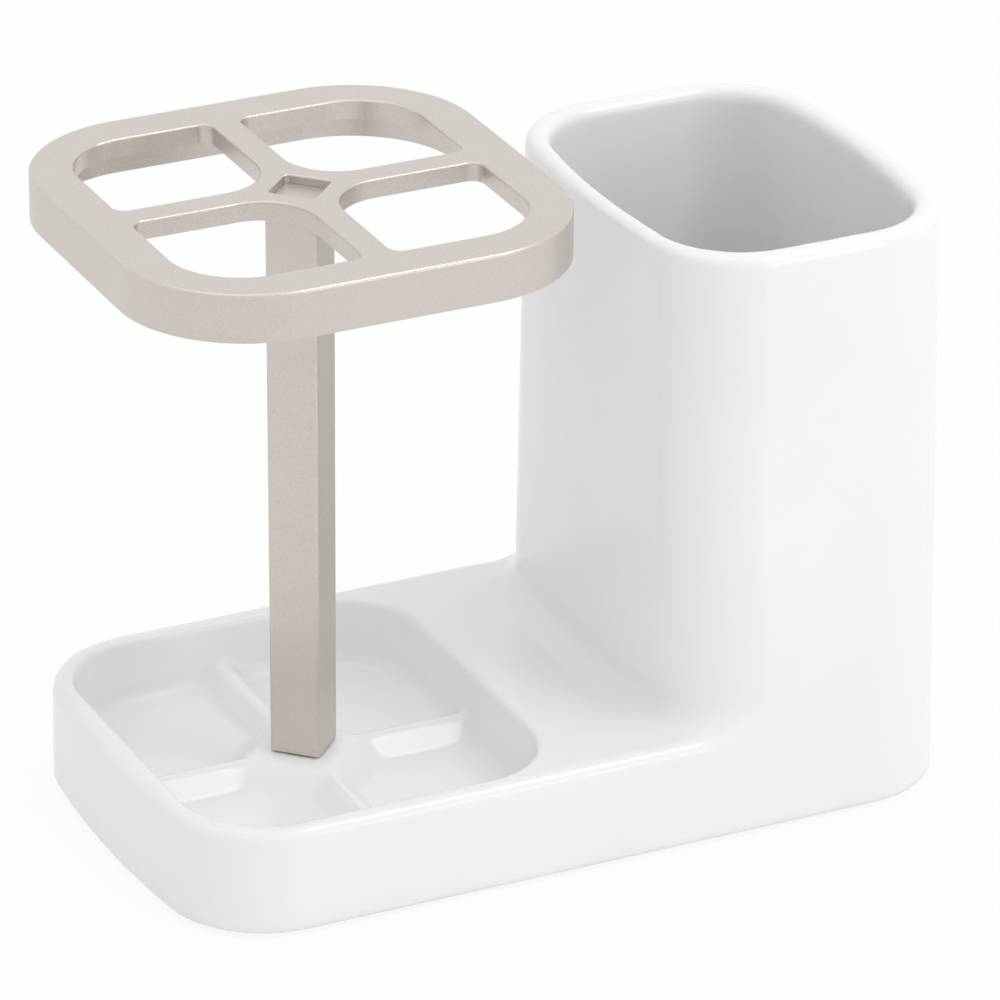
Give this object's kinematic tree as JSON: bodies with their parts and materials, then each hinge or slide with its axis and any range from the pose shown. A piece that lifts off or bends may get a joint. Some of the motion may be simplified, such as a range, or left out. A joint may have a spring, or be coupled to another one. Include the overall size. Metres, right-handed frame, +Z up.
{
  "type": "toothbrush holder",
  "caption": "Countertop toothbrush holder: a white glazed base with a ribbed drip tray and a tall rectangular cup, and a satin nickel rack of brush openings on a square post.",
  "frame": {"origin": "under the middle of the whole outline, rack included, on the surface that the pads stand on", "axes": "+X along the length towards the cup, +Y towards the back, +Z up"},
  "size_m": [0.1708, 0.094, 0.1337],
  "materials": {
    "white_glaze": "glossy white glaze",
    "satin_nickel": "satin nickel",
    "plain_steel": "zinc plated",
    "dark_rubber": "matt black",
    "clear_silicone": "milky silicone"
  },
  "bodies": {
    "root": {"ceramic_body": "white_glaze", "brush_rack": "satin_nickel", "post": "satin_nickel", "post_gasket": "dark_rubber", "clamp_screw": "plain_steel", "steel_washer": "plain_steel", "rubber_washer": "dark_rubber", "foot_front_left": "clear_silicone", "foot_front_right": "clear_silicone", "foot_back_left": "clear_silicone", "foot_back_right": "clear_silicone"}
  },
  "joints": []
}
